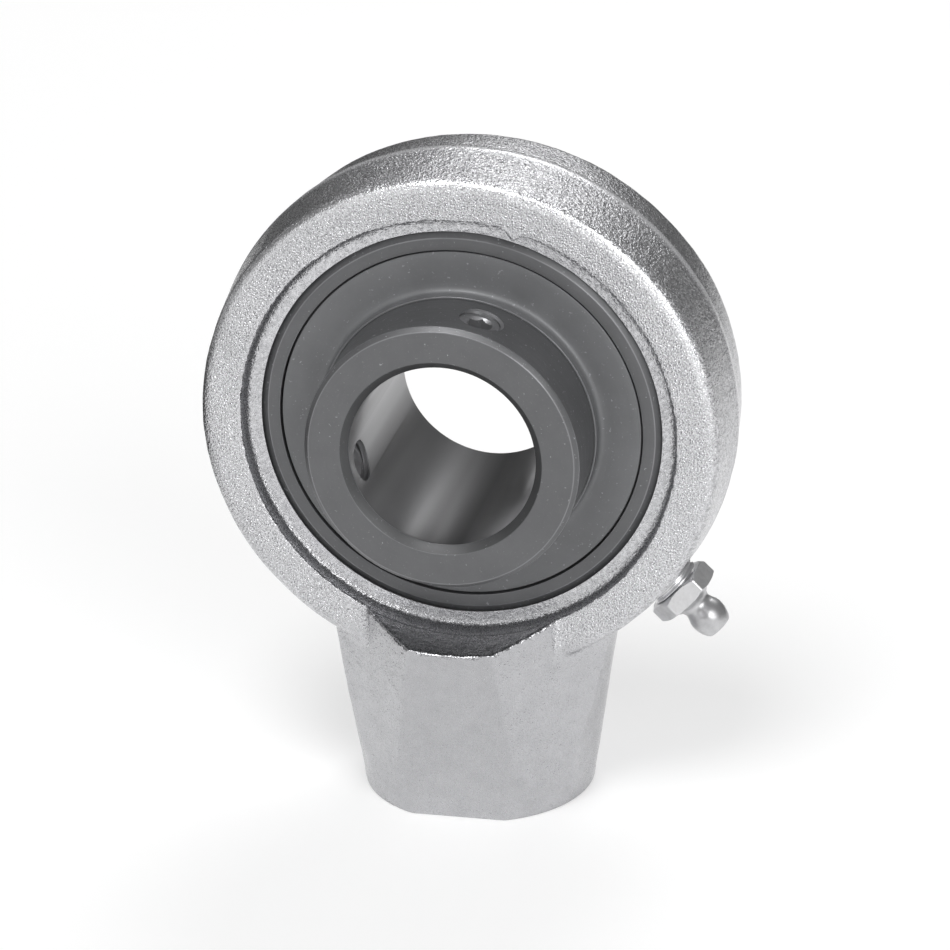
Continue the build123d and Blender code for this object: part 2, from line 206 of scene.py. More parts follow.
def startMaterial(name, colour, metallic, roughness):
    material = bpy.data.materials.new(name)
    material.use_nodes = True
    tree = material.node_tree
    shader = tree.nodes["Principled BSDF"]
    shader.inputs["Base Color"].default_value = (*colour, 1)
    shader.inputs["Metallic"].default_value = metallic
    shader.inputs["Roughness"].default_value = roughness
    coordinates = tree.nodes.new("ShaderNodeTexCoord").outputs["Object"]
    return material, tree, shader, coordinates


def noiseOf(tree, vector, scale, detail, roughness):
    node = tree.nodes.new("ShaderNodeTexNoise")
    node.inputs["Scale"].default_value = scale
    node.inputs["Detail"].default_value = detail
    node.inputs["Roughness"].default_value = roughness
    tree.links.new(vector, node.inputs["Vector"])
    return node.outputs["Fac"]


def ranged(tree, value, low, high, toLow, toHigh):
    node = tree.nodes.new("ShaderNodeMapRange")
    node.inputs["From Min"].default_value = low
    node.inputs["From Max"].default_value = high
    node.inputs["To Min"].default_value = toLow
    node.inputs["To Max"].default_value = toHigh
    tree.links.new(value, node.inputs["Value"])
    return node.outputs["Result"]


def computed(tree, operation, first, second=0):
    node = tree.nodes.new("ShaderNodeMath")
    node.operation = operation
    for socket, value in zip(node.inputs, (first, second)):
        if isinstance(value, (int, float)):
            socket.default_value = value
        else:
            tree.links.new(value, socket)
    return node.outputs["Value"]


def times(tree, first, *others):
    for other in others:
        first = computed(tree, "MULTIPLY", first, other)
    return first


def plus(tree, first, second):
    return computed(tree, "ADD", first, second)


def highest(tree, first, *others):
    for other in others:
        first = computed(tree, "MAXIMUM", first, other)
    return first


def after(tree, value, start, blend):
    # none below the start, one beyond the blend
    return ranged(tree, value, start, start + blend, 0, 1)


def before(tree, value, start, blend):
    # one below the start, none beyond the blend
    return ranged(tree, value, start, start + blend, 1, 0)


def band(tree, value, middle, half):
    # one within a half width of the middle, none beyond twice that
    off = computed(tree, "ABSOLUTE", computed(tree, "SUBTRACT", value, middle))
    return before(tree, off, half, half)


def lessened(tree, value, factor, share):
    # multiplied by a share where the factor is one
    return times(tree, value, ranged(tree, factor, 0, 1, 1, share))


def tinted(tree, factor, dark, light):
    # between two colours, each a plain one or another node's output
    node = tree.nodes.new("ShaderNodeMix")
    node.data_type = "RGBA"
    for socket, colour in (("A", dark), ("B", light)):
        if isinstance(colour, tuple):
            node.inputs[socket].default_value = (*colour, 1)
        else:
            tree.links.new(colour, node.inputs[socket])
    tree.links.new(factor, node.inputs["Factor"])
    return node.outputs["Result"]


def scaled(colour, share):
    return tuple(min(1, share * c) for c in colour)


def bumped(tree, height, distance, strength=1.0, below=None):
    node = tree.nodes.new("ShaderNodeBump")
    node.inputs["Distance"].default_value = distance
    node.inputs["Strength"].default_value = strength
    tree.links.new(height, node.inputs["Height"])
    if below is not None:
        tree.links.new(below, node.inputs["Normal"])
    return node.outputs["Normal"]


def axesOf(tree, coordinates):
    split = tree.nodes.new("ShaderNodeSeparateXYZ")
    tree.links.new(coordinates, split.inputs["Vector"])
    return split.outputs


def fromShaft(tree, x, z):
    # distance from the shaft axis
    return computed(tree, "SQRT", plus(tree, times(tree, x, x), times(tree, z, z)))


def turnedCoordinates(tree, coordinates, stretch=0.002):
    # distance from the shaft axis, angle round it and place along it
    x, y, z = axesOf(tree, coordinates)
    join = tree.nodes.new("ShaderNodeCombineXYZ")
    tree.links.new(fromShaft(tree, x, z), join.inputs["X"])
    tree.links.new(times(tree, computed(tree, "ARCTAN2", z, x), stretch), join.inputs["Y"])
    tree.links.new(y, join.inputs["Z"])
    return join.outputs["Vector"]


# where the casting's look changes, in metres from the shaft's axis or the middle planes
castingPlaces = {
    "blend": 0.0005, "outside": 0.0425, "faceFrom": 0.0122, "faceAt": 0.0132,
    "crestAt": 0.0462, "crestBlend": 0.0025, "bossFrom": -0.043, "bossBlend": 0.008,
    "recessAt": 0.0366, "recessOut": 0.0400, "rimAt": 0.0379, "rimShare": 0.7,
    "ridgeAt": 0.0012, "ridgeHalf": 0.0009,
    "edgeAt": 0.0124, "edgeHalf": 0.0004, "edgeEnd": 0.0452, "edgeRise": 0.02125,
}
castingLook = {
    "dark": (0.44, 0.44, 0.455), "light": (0.76, 0.76, 0.78), "bright": (0.88, 0.88, 0.90),
    "metallic": 1.0, "roughness": 0.25, "glossier": 0.12, "duller": 0.14,
    "pebbles": (1700, 2.0, 0.6), "pebbleHeight": 0.00034, "pebbleHalf": 0.14, "pebbleShade": 0.85,
    "faceGrain": (3200, 1.0, 0.5), "faceShade": 0.12,
    "grain": (4600, 1.0, 0.5), "grainHeight": 0.00010,
    "patches": (90, 3.0, 0.6), "patchShade": 0.15,
    "clouds": (300, 4.0, 0.65), "cloudHeight": 0.0004, "cloudShade": (0.12, 0.24),
    "bossShare": 0.3, "recessShare": 0.4, "ridgeShare": 0.35, "edgeShare": 0.5, "backShare": 0.65,
    "faceShare": 0.9, "ridgeDull": 0.6, "highlightShare": 0.3,
}


def placesOfCasting(tree, coordinates, at):
    # each is one at its place on the casting and none elsewhere, and the recess a share within its rim
    x, y, z = axesOf(tree, coordinates)
    radius = fromShaft(tree, x, z)
    along = computed(tree, "ABSOLUTE", y)
    blend = at["blend"]
    outside = after(tree, radius, at["outside"], blend)
    onFace = after(tree, along, at["faceFrom"], blend)
    boss = highest(tree, after(tree, along, at["faceAt"], blend),
                   after(tree, radius, at["crestAt"], at["crestBlend"]),
                   before(tree, z, at["bossFrom"], at["bossBlend"]))
    recess = times(tree, after(tree, radius, at["recessAt"], blend),
                   before(tree, radius, at["recessOut"], blend), before(tree, along, at["faceFrom"], blend))
    recess = highest(tree, recess, ranged(tree, radius, at["rimAt"], at["rimAt"] + blend, at["rimShare"], 0))
    ridge = times(tree, outside, band(tree, y, at["ridgeAt"], at["ridgeHalf"]))
    edge = times(tree, outside, band(tree, along, at["edgeAt"], at["edgeHalf"]),
                 before(tree, radius, at["edgeEnd"], blend), after(tree, z, 0, at["edgeRise"]))
    back = times(tree, outside, after(tree, y, at["ridgeAt"] + at["ridgeHalf"], at["ridgeHalf"] / 2))
    return onFace, boss, recess, ridge, edge, back


def zincCasting(look):
    # blasted and zinc-plated: fine grain on the faces, pebbles round the ring, smoother on the boss, and a
    # painted highlight on the parting ridge and the crest line
    material, tree, shader, coordinates = startMaterial(
        "zincCasting", look["light"], look["metallic"], look["roughness"])
    onFace, boss, recess, ridge, edge, back = placesOfCasting(tree, coordinates, castingPlaces)
    rough = ranged(tree, boss, 0, 1, 1, look["bossShare"])
    for place, share in ((recess, "recessShare"), (ridge, "ridgeShare"), (edge, "edgeShare"),
                         (back, "backShare"), (onFace, "faceShare")):
        rough = lessened(tree, rough, place, look[share])
    grain = noiseOf(tree, coordinates, *look["grain"])
    patches = noiseOf(tree, coordinates, *look["patches"])
    clouds = noiseOf(tree, coordinates, *look["clouds"])
    pebbles = plus(tree, lessened(tree, noiseOf(tree, coordinates, *look["pebbles"]), onFace, 0),
                   times(tree, noiseOf(tree, coordinates, *look["faceGrain"]), onFace))
    pebbles = times(tree, computed(tree, "SUBTRACT", pebbles, noiseMiddle), rough)
    half = look["pebbleHalf"]
    shade = plus(tree, ranged(tree, pebbles, -half, half, 0, look["pebbleShade"]),
                 ranged(tree, patches, *wide, 0, look["patchShade"]))
    shade = plus(tree, shade, times(tree, onFace, look["faceShade"]))
    cloudShade = times(tree, ranged(tree, clouds, *narrow, *look["cloudShade"]), boss)
    shade = plus(tree, lessened(tree, shade, boss, 0), cloudShade)
    # painted highlight: the parting ridge and the upper crest line are mixed towards the bright colour, and
    # the ridge is made less metallic so that it stays light
    paintedHighlight = times(tree, highest(tree, ridge, edge), look["highlightShare"])
    colour = tinted(tree, paintedHighlight, tinted(tree, shade, look["dark"], look["light"]), look["bright"])
    tree.links.new(colour, shader.inputs["Base Color"])
    tree.links.new(ranged(tree, ridge, 0, 1, look["metallic"], look["ridgeDull"]), shader.inputs["Metallic"])
    tree.links.new(ranged(tree, grain, *wide, look["roughness"] - look["glossier"],
                          look["roughness"] + look["duller"]), shader.inputs["Roughness"])
    relief = bumped(tree, times(tree, grain, rough), look["grainHeight"])
    relief = bumped(tree, pebbles, look["pebbleHeight"], below=relief)
    relief = bumped(tree, times(tree, clouds, boss), look["cloudHeight"], below=relief)
    tree.links.new(relief, shader.inputs["Normal"])
    return material


cutSurface = {
    "lineDetail": 3.0, "lineRoughness": 0.6, "lineRange": (0.7, 1.3),
    "stains": (140, 4.0, 0.6), "stainShade": 0.6,
    "specks": (2600, 2.0, 0.6), "speckRange": (0.62, 0.72), "speckHeight": 0.00001, "speckStrength": 0.6,
    "glints": (1300, 3.0, 0.7), "glintRange": (0.65, 0.71), "glintLight": 2.6,
    "dark": 0.88, "light": 1.12, "glossier": 0.05, "duller": 0.07,
}


def cutSteel(name, colour, metallic, roughness, lineScale, lineHeight, specksAndGlints):
    # turned or ground metal: fine lines round the shaft, faint stains and specks, and painted glints
    material, tree, shader, coordinates = startMaterial(name, colour, metallic, roughness)
    look = cutSurface
    around = turnedCoordinates(tree, coordinates)
    lines = noiseOf(tree, around, lineScale, look["lineDetail"], look["lineRoughness"])
    stains = noiseOf(tree, coordinates, *look["stains"])
    specks = noiseOf(tree, coordinates, *look["specks"])
    shade = plus(tree, ranged(tree, stains, *wide, 0, look["stainShade"]),
                 ranged(tree, specks, *look["speckRange"], 0, specksAndGlints))
    # painted glints: small spots mixed towards a colour brighter than the steel
    glints = ranged(tree, noiseOf(tree, coordinates, *look["glints"]), *look["glintRange"], 0, 1)
    base = tinted(tree, shade, scaled(colour, look["dark"]), scaled(colour, look["light"]))
    tree.links.new(tinted(tree, times(tree, glints, specksAndGlints), base, scaled(colour, look["glintLight"])),
                   shader.inputs["Base Color"])
    tree.links.new(ranged(tree, plus(tree, lines, stains), *look["lineRange"], roughness - look["glossier"],
                          roughness + look["duller"]), shader.inputs["Roughness"])
    relief = bumped(tree, lines, lineHeight)
    relief = bumped(tree, specks, look["speckHeight"], look["speckStrength"], relief)
    tree.links.new(relief, shader.inputs["Normal"])
    return material


boreLook = {
    "colour": (0.20, 0.20, 0.205), "metallic": 0.80, "roughness": 0.32, "glossier": 0.05, "duller": 0.08,
    "reflectionBands": (3.0, 1.5, 0.5), "reflectionBandShare": 0.15, "sideFrom": 0.003, "sideEnd": 0.013,
    "leftPaintedLight": 0.5, "rightPaintedLight": 1.0, "dark": 0.45, "light": 2.3,
    "lines": (5200, 3.0, 0.6), "lineHeight": 0.000004,
}


def honedBore(look):
    # smooth bore with soft bands along the shaft, lighter at its two sides; the bands and the lighter sides
    # are painted reflections
    colour, roughness = look["colour"], look["roughness"]
    material, tree, shader, coordinates = startMaterial("boreSteel", colour, look["metallic"], roughness)
    axes = axesOf(tree, coordinates)
    x, z = axes["X"], axes["Z"]
    join = tree.nodes.new("ShaderNodeCombineXYZ")
    tree.links.new(computed(tree, "ARCTAN2", z, x), join.inputs["X"])
    reflectionBands = noiseOf(tree, join.outputs["Vector"], *look["reflectionBands"])
    # painted reflection: lighter towards the left side, and most towards the right side
    paintedSides = plus(tree, ranged(tree, x, -look["sideEnd"], -look["sideFrom"], look["leftPaintedLight"], 0),
                 ranged(tree, x, look["sideFrom"], look["sideEnd"], 0, look["rightPaintedLight"]))
    shade = plus(tree, ranged(tree, reflectionBands, *narrow, 0, look["reflectionBandShare"]), paintedSides)
    tree.links.new(tinted(tree, shade, scaled(colour, look["dark"]), scaled(colour, look["light"])),
                   shader.inputs["Base Color"])
    tree.links.new(ranged(tree, reflectionBands, *wide, roughness + look["duller"], roughness - look["glossier"]),
                   shader.inputs["Roughness"])
    lines = noiseOf(tree, turnedCoordinates(tree, coordinates), *look["lines"])
    tree.links.new(bumped(tree, lines, look["lineHeight"]), shader.inputs["Normal"])
    return material


platedSurface = {
    "metallic": 0.95, "dents": (900, 3.0, 0.6), "dentHeight": 0.00003, "dentStrength": 0.8,
    "dull": (400, 4.0, 0.65), "dark": 0.8, "glossier": 0.05, "duller": 0.12,
}


def platedZinc(name, colour, roughness):
    # bright plating on turned parts: small dents and dull spots
    look = platedSurface
    material, tree, shader, coordinates = startMaterial(name, colour, look["metallic"], roughness)
    dents = noiseOf(tree, coordinates, *look["dents"])
    dull = noiseOf(tree, coordinates, *look["dull"])
    tree.links.new(tinted(tree, ranged(tree, dull, *narrow, 0, 1), scaled(colour, look["dark"]), colour),
                   shader.inputs["Base Color"])
    tree.links.new(ranged(tree, dull, *wide, roughness + look["duller"], roughness - look["glossier"]),
                   shader.inputs["Roughness"])
    tree.links.new(bumped(tree, dents, look["dentHeight"], look["dentStrength"]), shader.inputs["Normal"])
    return material


rubberLook = {
    "colour": (0.12, 0.12, 0.122), "dark": (0.09, 0.09, 0.092), "light": (0.15, 0.15, 0.152),
    "roughness": 0.55, "roughRange": (0.48, 0.66), "skin": (1800, 3.0, 0.6), "skinHeight": 0.00003,
    "skinStrength": 0.7,
}


def mouldedRubber(look):
    material, tree, shader, coordinates = startMaterial("sealRubber", look["colour"], 0.0, look["roughness"])
    skin = noiseOf(tree, coordinates, *look["skin"])
    tree.links.new(tinted(tree, skin, look["dark"], look["light"]), shader.inputs["Base Color"])
    tree.links.new(ranged(tree, skin, *wide, *look["roughRange"]), shader.inputs["Roughness"])
    tree.links.new(bumped(tree, skin, look["skinHeight"], look["skinStrength"]), shader.inputs["Normal"])
    return material


# colour, metallic, roughness, line scale, line height, and the share of specks and painted glints
cutFinishes = {
    "machinedZinc": ((0.55, 0.55, 0.56), 0.85, 0.34, 3000, 0.000012, 0.3),
    "darkSteel": ((0.155, 0.157, 0.162), 0.60, 0.44, 2500, 0.000010, 0.9),
    "groundSteel": ((0.42, 0.42, 0.43), 0.95, 0.26, 5200, 0.000006, 0.2),
    "chamferSteel": ((0.095, 0.096, 0.099), 0.60, 0.46, 2500, 0.000010, 0.5),
    "flingerSteel": ((0.185, 0.188, 0.194), 0.35, 0.46, 1900, 0.000010, 0.5),
    # lighter steel for the worn edges, partly bare metal and partly a painted highlight
    "wornEdgeHighlight": ((0.25, 0.25, 0.26), 0.80, 0.36, 2500, 0.000004, 0.2),
    "screwSteel": ((0.34, 0.34, 0.35), 0.80, 0.40, 2500, 0.000008, 0.6),
    "ballSteel": ((0.62, 0.62, 0.63), 1.0, 0.10, 1200, 0.000002, 0.1),
    "cageSteel": ((0.46, 0.45, 0.44), 0.9, 0.30, 1500, 0.000010, 0.4),
    "springSteel": ((0.50, 0.50, 0.51), 1.0, 0.24, 3000, 0.000004, 0.2),
}
cut = {name: cutSteel(name, *finish) for name, finish in cutFinishes.items()}
castingZinc = zincCasting(castingLook)
boreSteel = honedBore(boreLook)
nippleZinc = platedZinc("nippleZinc", (0.84, 0.84, 0.85), 0.32)
nippleDull = platedZinc("nippleDull", (0.62, 0.62, 0.63), 0.34)
sealRubber = mouldedRubber(rubberLook)
print("materials made")


innerRing = {
    "boreRadius": 15.875, "boreChamfer": 1.4, "radius": 23.45, "chamfer": 0.8, "front": -25.4, "back": 17.5,
    "raceBottom": 21.174, "raceRadius": 5.7785, "raceHalf": 4.6, "raceSteps": 16, "edge": 0.12,
    "steps": 240, "margin": 0.1,
}
setScrew = {
    "angles": (75.5, 195.5), "height": -18.4, "pitch": 1.058, "root": 3.30, "crest": 3.969,
    "inner": 16.75, "outer": 22.75, "chamfer": 0.7, "clear": 0.05, "edge": 0.05, "outerEdge": 0.06,
    "cupRadius": 2.3, "cupDepth": 1.6, "threadOver": 0.5,
    "socket": 3.97, "socketDepth": 3.0, "socketOver": 1, "socketTurn": -30,
    "flareDepth": 0.5, "flareWidth": 0.8, "flareOver": 0.3, "steps": 96, "flareSteps": 48,
}
screwHole = {
    "pitch": 1.058, "root": 3.35, "crest": 4.009, "from": 10, "end": 30,
    "flareFrom": 22, "flareStart": 22.6, "flareEnd": 24.5, "flareIn": 0.6, "flareOut": 0.15, "steps": 96,
}


def wornEdgesWithHighlight(obj, corners, reach):
    # worn edges of a turned piece, in a lighter steel that is partly bare metal and partly a painted
    # highlight, given as (radius, place along the shaft)
    obj.data.materials.append(cut["wornEdgeHighlight"])
    for polygon in obj.data.polygons:
        centre = polygon.center / mm
        for radius, place in corners:
            if math.hypot(centre.xz.length - radius, centre.y - place) < reach:
                polygon.material_index = len(obj.data.materials) - 1


def tapScrewHole(ring, size, place):
    hole = threadedRod(size, size["from"], size["end"])
    combine(ring, objectFrom(hole, "screwHole", place, cut["screwSteel"]), "DIFFERENCE")
    flare = turned([
        (0, size["flareFrom"], 0), (size["crest"] - size["flareIn"], size["flareStart"], 0),
        (size["crest"] + size["flareOut"], size["flareEnd"], 0), (0, size["flareEnd"], 0),
    ], size["steps"])
    combine(ring, objectFrom(flare, "flare", place, cut["darkSteel"]), "DIFFERENCE")


def buildInnerRing(size):
    raceCentre = size["raceBottom"] + size["raceRadius"]
    swing = math.degrees(math.asin(size["raceHalf"] / size["raceRadius"]))
    outline = [
        (size["radius"] - size["chamfer"], size["front"], size["edge"]),
        (size["radius"], size["front"] + size["chamfer"], size["edge"]),
        *arcPoints((raceCentre, 0), size["raceRadius"], 180 + swing, 180 - swing, size["raceSteps"]),
        (size["radius"], size["back"] - size["chamfer"], size["edge"]),
        (size["radius"] - size["chamfer"], size["back"], size["edge"]),
        (size["boreRadius"] + size["boreChamfer"], size["back"], size["edge"]),
        (size["boreRadius"], size["back"] - size["boreChamfer"], size["edge"]),
        (size["boreRadius"], size["front"] + size["boreChamfer"], size["edge"]),
        (size["boreRadius"] + size["boreChamfer"], size["front"], size["edge"]),
    ]
    ring = objectFrom(turned(outline, size["steps"]), "innerRingTurned", alongShaft, cut["darkSteel"])
    ring.data.materials.append(boreSteel)
    ring.data.materials.append(cut["chamferSteel"])
    for polygon in ring.data.polygons:
        reach = math.hypot(polygon.center.x, polygon.center.z)
        if reach < (size["boreRadius"] + size["margin"]) * mm:
            polygon.material_index = 1
        elif reach < (size["boreRadius"] + size["boreChamfer"] - size["margin"]) * mm:
            polygon.material_index = 2
    wornEdgesWithHighlight(ring, [
        (size["radius"] - size["chamfer"], size["front"]), (size["radius"], size["front"] + size["chamfer"]),
        (size["radius"] - size["chamfer"], size["back"]), (size["radius"], size["back"] - size["chamfer"]),
    ], size["edge"])
    for angle in setScrew["angles"]:
        tapScrewHole(ring, screwHole, outFromShaft(angle, setScrew["height"]))
    shadeByAngle(ring)
    settle(ring, "inner", "ring_steel", "inner_ring")


def buildSetScrews(size):
    steel = cut["screwSteel"]
    inner, outer, crest, chamfer = (size[k] for k in ("inner", "outer", "crest", "chamfer"))
    for number, angle in enumerate(size["angles"], start=1):
        body = turned([
            (0, inner + size["cupDepth"], 0),
            (size["cupRadius"], inner, size["edge"]),
            (crest - chamfer, inner, size["edge"]),
            (crest + size["clear"], inner + chamfer + size["clear"], 0),
            (crest + size["clear"], outer - chamfer / 2 - size["clear"], 0),
            (crest - chamfer / 2, outer, size["outerEdge"]),
            (0, outer, 0),
        ], size["steps"])
        place = outFromShaft(angle, size["height"])
        screw = objectFrom(body, f"setScrew{number}", place, steel)
        rod = threadedRod(size, inner - size["threadOver"], outer + size["threadOver"])
        combine(screw, objectFrom(rod, "rod", place, steel), "INTERSECT")
        socket = hexPrism(size["socket"], outer - size["socketDepth"], outer + size["socketOver"],
                          size["socketTurn"])
        combine(screw, objectFrom(socket, "socket", place, steel), "DIFFERENCE")
        flare = turned([
            (0, outer - size["flareDepth"], 0), (size["socket"] / 2, outer - size["flareDepth"], 0),
            (size["socket"] / 2 + size["flareWidth"], outer + size["flareOver"], 0),
            (0, outer + size["flareOver"], 0),
        ], size["flareSteps"])
        combine(screw, objectFrom(flare, "flare", place, steel), "DIFFERENCE")
        shadeByAngle(screw)
        settle(screw, f"set_screw_{number}", "screw_steel", f"set_screw_{number}")


outerRing = {
    "sphere": 36.0, "sphereEnd": 8.9, "sphereSteps": (14, 3), "half": 10.0, "faceEdge": 33.48,
    "sealSeat": 31.35, "sealFloor": 6.6, "shoulder": 30.35, "edge": 0.12, "steps": 240,
    "raceBottom": 32.326, "raceRadius": 5.7785, "raceHalf": 4.35, "raceSteps": 14, "raceReach": 34,
    "groove": (3.7, 6.7), "grooveFloor": 35.12, "margin": 0.06,
    "oilHole": 0.6, "oilPlane": 5.2, "oilAngles": (-44.5, 75.5), "oilMiddle": 33, "oilLength": 12,
    "oilSteps": 32,
}


def buildOuterRing(size):
    def swing(height):
        return math.degrees(math.asin(height / size["sphere"]))

    low, high = size["groove"]
    frontSteps, backSteps = size["sphereSteps"]
    raceCentre = size["raceBottom"] - size["raceRadius"]
    raceSwing = math.degrees(math.asin(size["raceHalf"] / size["raceRadius"]))
    outline = [
        *arcPoints((0, 0), size["sphere"], swing(-size["sphereEnd"]), swing(low), frontSteps),
        (size["grooveFloor"], low, 0), (size["grooveFloor"], high, 0),
        *arcPoints((0, 0), size["sphere"], swing(high), swing(size["sphereEnd"]), backSteps),
        (size["faceEdge"], size["half"], size["edge"]),
        (size["sealSeat"], size["half"], size["edge"]),
        (size["sealSeat"], size["sealFloor"], 0),
        (size["shoulder"], size["sealFloor"], size["edge"]),
        *arcPoints((raceCentre, 0), size["raceRadius"], raceSwing, -raceSwing, size["raceSteps"]),
        (size["shoulder"], -size["sealFloor"], size["edge"]),
        (size["sealSeat"], -size["sealFloor"], 0),
        (size["sealSeat"], -size["half"], size["edge"]),
        (size["faceEdge"], -size["half"], size["edge"]),
    ]
    ring = objectFrom(turned(outline, size["steps"]), "outerRingTurned", alongShaft, cut["darkSteel"])
    ring.data.materials.append(cut["groundSteel"])
    for polygon in ring.data.polygons:
        centre = polygon.center / mm
        onSphere = abs(centre.length - size["sphere"]) < size["margin"]
        inRace = abs(centre.y) < size["raceHalf"] and centre.xz.length < size["raceReach"]
        if onSphere or inRace:
            polygon.material_index = 1
    wornEdgesWithHighlight(ring, [
        (size["sealSeat"], size["half"]), (size["sealSeat"], -size["half"]),
        (size["faceEdge"], size["half"]), (size["faceEdge"], -size["half"]),
    ], size["edge"])
    for angle in size["oilAngles"]:
        hole = bmesh.new()
        bmesh.ops.create_cone(hole, cap_ends=True, segments=size["oilSteps"], radius1=size["oilHole"],
                              radius2=size["oilHole"], depth=size["oilLength"],
                              matrix=Matrix.Translation((0, 0, size["oilMiddle"])))
        place = outFromShaft(angle, size["oilPlane"])
        combine(ring, objectFrom(hole, "oilHole", place, cut["groundSteel"]), "DIFFERENCE")
    shadeByAngle(ring)
    settle(ring, "insert", "ring_steel", "outer_ring")


flinger = {
    "bore": 23.45, "boreEdge": 0.1, "collar": 23.85, "collarEnd": 12.0, "back": 8.8, "dish": 9.5,
    "dishFrom": 25.85, "slopeEnd": 29.85, "bend": 0.3, "face": 9.7, "rim": 31.05, "thickness": 0.7,
    "edge": 0.12, "rimEdge": 0.18, "rootFillet": 1.0, "steps": 240,
}


def buildFlinger(size, side, name, node):
    outline = [
        (size["bore"], size["back"], size["boreEdge"]),
        (size["bore"], size["collarEnd"], size["edge"]),
        (size["collar"], size["collarEnd"], size["edge"]),
        (size["collar"], size["dish"], size["rootFillet"]),
        (size["dishFrom"], size["dish"], size["bend"]),
        (size["slopeEnd"], size["face"], size["bend"]),
        (size["rim"], size["face"], size["rimEdge"]),
        (size["rim"], size["face"] - size["thickness"], size["rimEdge"]),
        (size["slopeEnd"], size["face"] - size["thickness"], size["bend"]),
        (size["dishFrom"], size["back"], size["bend"]),
    ]
    facing = Matrix.Rotation(math.pi, 4, "X") if side < 0 else Matrix.Identity(4)
    disc = objectFrom(turned(outline, size["steps"]), name, alongShaft @ facing, cut["flingerSteel"])
    wornEdgesWithHighlight(disc, [(size["collar"], side * size["collarEnd"])], size["edge"])
    shadeByAngle(disc)
    settle(disc, "inner", "flinger_steel", node)


buildInnerRing(innerRing)
buildSetScrews(setScrew)
buildOuterRing(outerRing)
buildFlinger(flinger, -1, "flingerFront", "flinger_front")
buildFlinger(flinger, 1, "flingerBack", "flinger_back")
print("insert rings made")


nipple = {
    "angle": -44.5, "height": 5.2, "shankEnd": 39.56, "pitch": 0.907, "root": 4.25, "crest": 4.8,
    "hexBase": 48.01, "hexTop": 51.31, "hexTurn": -18, "acrossFlats": 11.0, "corner": 6.15,
    "cornerEdge": 0.14, "baseChamfer": 0.6, "topChamfer": 0.35,
    "facingOver": 0.01, "facingOut": 0.1, "facingEdge": 0.1, "facingSteps": 120,
    "shankIn": 0.4, "headIn": 0.5, "headSteps": 96, "tip": 58.71,
    "duct": 0.8, "ductOver": 1, "chamber": 1.4, "chamberFrom": 51.21, "chamberEnd": 57.81,
    "mouth": 1.0, "mouthEdge": 58.21, "mouthDepth": 0.15, "mouthFlare": 0.5, "mouthOver": 0.35,
    "ductSteps": 64,
    # (radius, height, edge rounding) from the hexagon up to the tip
    "head": [
        (4.75, 51.25, 0), (4.35, 51.5, 0), (3.55, 51.95, 0), (2.9, 52.45, 0), (2.66, 53.0, 0),
        (2.66, 53.4, 0), (2.85, 53.95, 0), (3.16, 54.7, 0), (3.3, 55.4, 0), (3.3, 56.0, 0),
        (3.2, 56.8, 0), (3.0, 57.5, 0), (2.7, 58.2, 0), (2.3, 58.71, 0.12),
    ],
}


def buildNipple(size):
    place = outFromShaft(size["angle"], size["height"])
    flats = size["acrossFlats"] / 2
    base, top, tip = size["hexBase"], size["hexTop"], size["tip"]
    nut = hexPrism(size["acrossFlats"], base, top, size["hexTurn"], size["cornerEdge"])
    nut = objectFrom(nut, "nippleBody", place, nippleZinc)
    over, out, edge = size["facingOver"], size["corner"] + size["facingOut"], size["facingEdge"]
    facing = turned([
        (0, base - over, 0), (flats, base - over, edge),
        (out, base + size["baseChamfer"], edge), (out, top - size["topChamfer"], edge),
        (flats, top + over, edge), (0, top + over, 0),
    ], size["facingSteps"])
    combine(nut, objectFrom(facing, "facing", place, nippleZinc), "INTERSECT")
    rod = threadedRod(size, size["shankEnd"], base + size["shankIn"])
    combine(nut, objectFrom(rod, "shank", place, nippleZinc), "UNION")
    foot = top - size["headIn"]
    head = turned([(0, foot, 0), (size["head"][0][0], foot, 0), *size["head"], (0, tip, 0)],
                  size["headSteps"])
    combine(nut, objectFrom(head, "head", place, nippleDull), "UNION")
    start = size["shankEnd"] - size["ductOver"]
    duct = turned([
        (0, start, 0), (size["duct"], start, 0), (size["duct"], size["chamberFrom"], 0),
        (size["chamber"], size["chamberFrom"], 0), (size["chamber"], size["chamberEnd"], 0),
        (size["mouth"], size["mouthEdge"], 0), (size["mouth"], tip - size["mouthDepth"], 0),
        (size["mouth"] + size["mouthFlare"], tip + size["mouthOver"], 0), (0, tip + size["mouthOver"], 0),
    ], size["ductSteps"])
    combine(nut, objectFrom(duct, "duct", place, nippleZinc), "DIFFERENCE")
    shadeByAngle(nut)
    settle(nut, "housing", "nipple_zinc", "nipple_body")


buildNipple(nipple)
print("nipple made")


housing = {
    "weld": 0.000002, "voxel": 0.52, "smoothing": 2, "smoothShare": 0.5, "mouth": -70.0,
    "seat": 36.04, "seatSwing": 87, "seatSteps": 60, "slotHalf": 10.3, "slotEnd": 14.0,
    "seed": (4.1, 7.3, 2.9), "waveLength": 12.0, "waveDepth": 0.14, "rippleLength": 3.0, "rippleDepth": 0.05,
    "calmHeight": 0.3, "calmRun": 1.5,
    "lump": (10.4, -12.4, 35.8), "lumpReach": 2.0, "lumpHeight": 1.5,
    "ridgeAt": 1.2, "ridgeHalf": 1.1, "ridgeHeight": 0.05, "ridgeFrom": 43.5, "ridgeEnd": -34.0,
    "ridgeFade": 4, "stepFront": 0.12, "stepBack": 0.32, "stepRun": 3.0,
    "rimCut": 0.7, "rimSteps": ((0.32, 0.997), (0.10, 0.995), (0.0, 0.989)), "rimPlane": 0.0000001,
}
